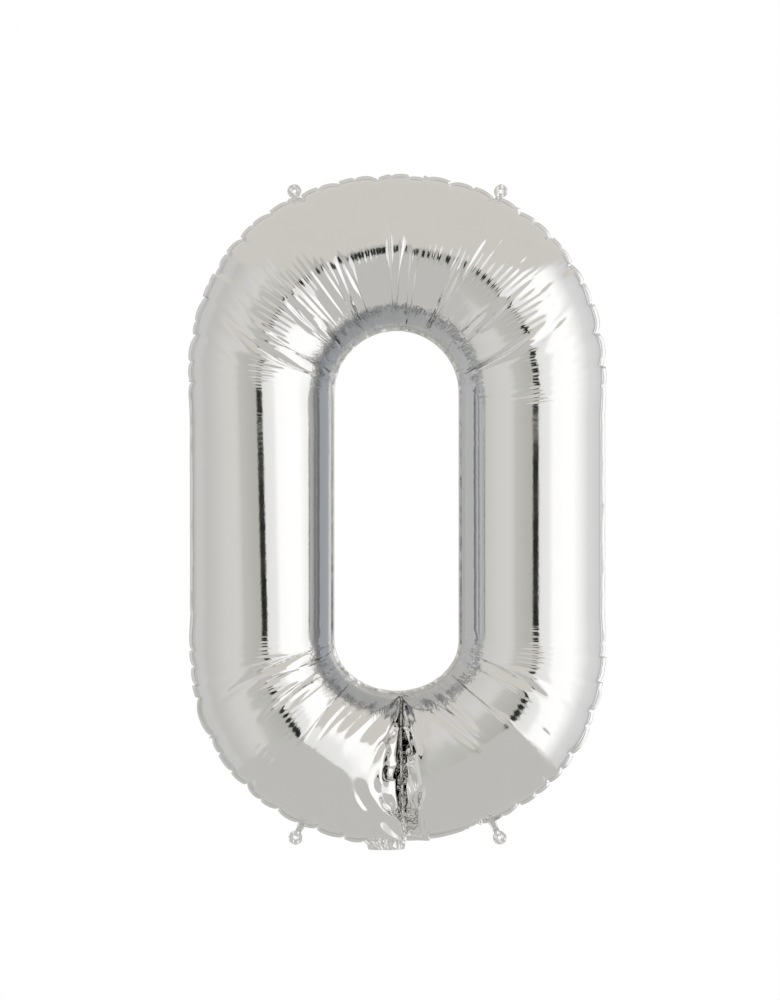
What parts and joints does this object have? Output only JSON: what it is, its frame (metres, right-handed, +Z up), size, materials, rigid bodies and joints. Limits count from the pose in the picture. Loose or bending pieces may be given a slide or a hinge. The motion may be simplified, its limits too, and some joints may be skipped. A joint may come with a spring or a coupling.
{
  "type": "foil number balloon",
  "caption": "Filled silver foil balloon in the shape of a zero: two welded films, hanging tabs and a filling tail that fold, and a flat valve inside.",
  "frame": {"origin": "centre of the filled balloon's box, tail included, in the plane of the seams", "axes": "+X to the viewer's right, +Y to the back, +Z up; the front faces -Y"},
  "size_m": [0.441, 0.1418, 0.7158],
  "materials": {
    "foil": "mirror-bright metallised film",
    "seam": "bright welded film, finely crimped",
    "tab": "bright crumpled film",
    "valve": "clear to milky polyethylene film"
  },
  "bodies": {
    "balloon": {"front_foil": "foil", "back_foil": "foil", "outer_seam": "seam", "inner_seam": "seam", "left_end_seam": "seam", "right_end_seam": "seam", "valve_front_film": "valve", "valve_back_film": "valve"},
    "tab_top_left": {"hanging_tab_top_left": "tab"},
    "tab_top_right": {"hanging_tab_top_right": "tab"},
    "tab_bottom_left": {"hanging_tab_bottom_left": "tab"},
    "tab_bottom_right": {"hanging_tab_bottom_right": "tab"},
    "tail": {"filling_tail": "tab"}
  },
  "joints": [
    {"name": "tab_top_left_fold", "type": "hinge", "parent": "balloon", "child": "tab_top_left", "pos_m": [-0.1063, 0, 0.33194], "axis": [0.9397, 0, 0.342], "range_deg": [-90, 90], "stiffness_Nm_per_rad": 0.0001},
    {"name": "tab_bottom_left_fold", "type": "hinge", "parent": "balloon", "child": "tab_bottom_left", "pos_m": [-0.10433, 0, -0.33613], "axis": [-0.9063, 0, 0.4226], "range_deg": [-90, 90], "stiffness_Nm_per_rad": 0.0001},
    {"name": "tab_top_right_fold", "type": "hinge", "parent": "balloon", "child": "tab_top_right", "pos_m": [0.1063, 0, 0.33194], "axis": [0.9397, 0, -0.342], "range_deg": [-90, 90], "stiffness_Nm_per_rad": 0.0001},
    {"name": "tab_bottom_right_fold", "type": "hinge", "parent": "balloon", "child": "tab_bottom_right", "pos_m": [0.10433, 0, -0.33613], "axis": [-0.9063, 0, -0.4226], "range_deg": [-90, 90], "stiffness_Nm_per_rad": 0.0001},
    {"name": "tail_fold", "type": "hinge", "parent": "balloon", "child": "tail", "pos_m": [-0.0145, 0, -0.3469], "axis": [-1, 0, 0], "range_deg": [-75, 75], "stiffness_Nm_per_rad": 0.0003}
  ]
}
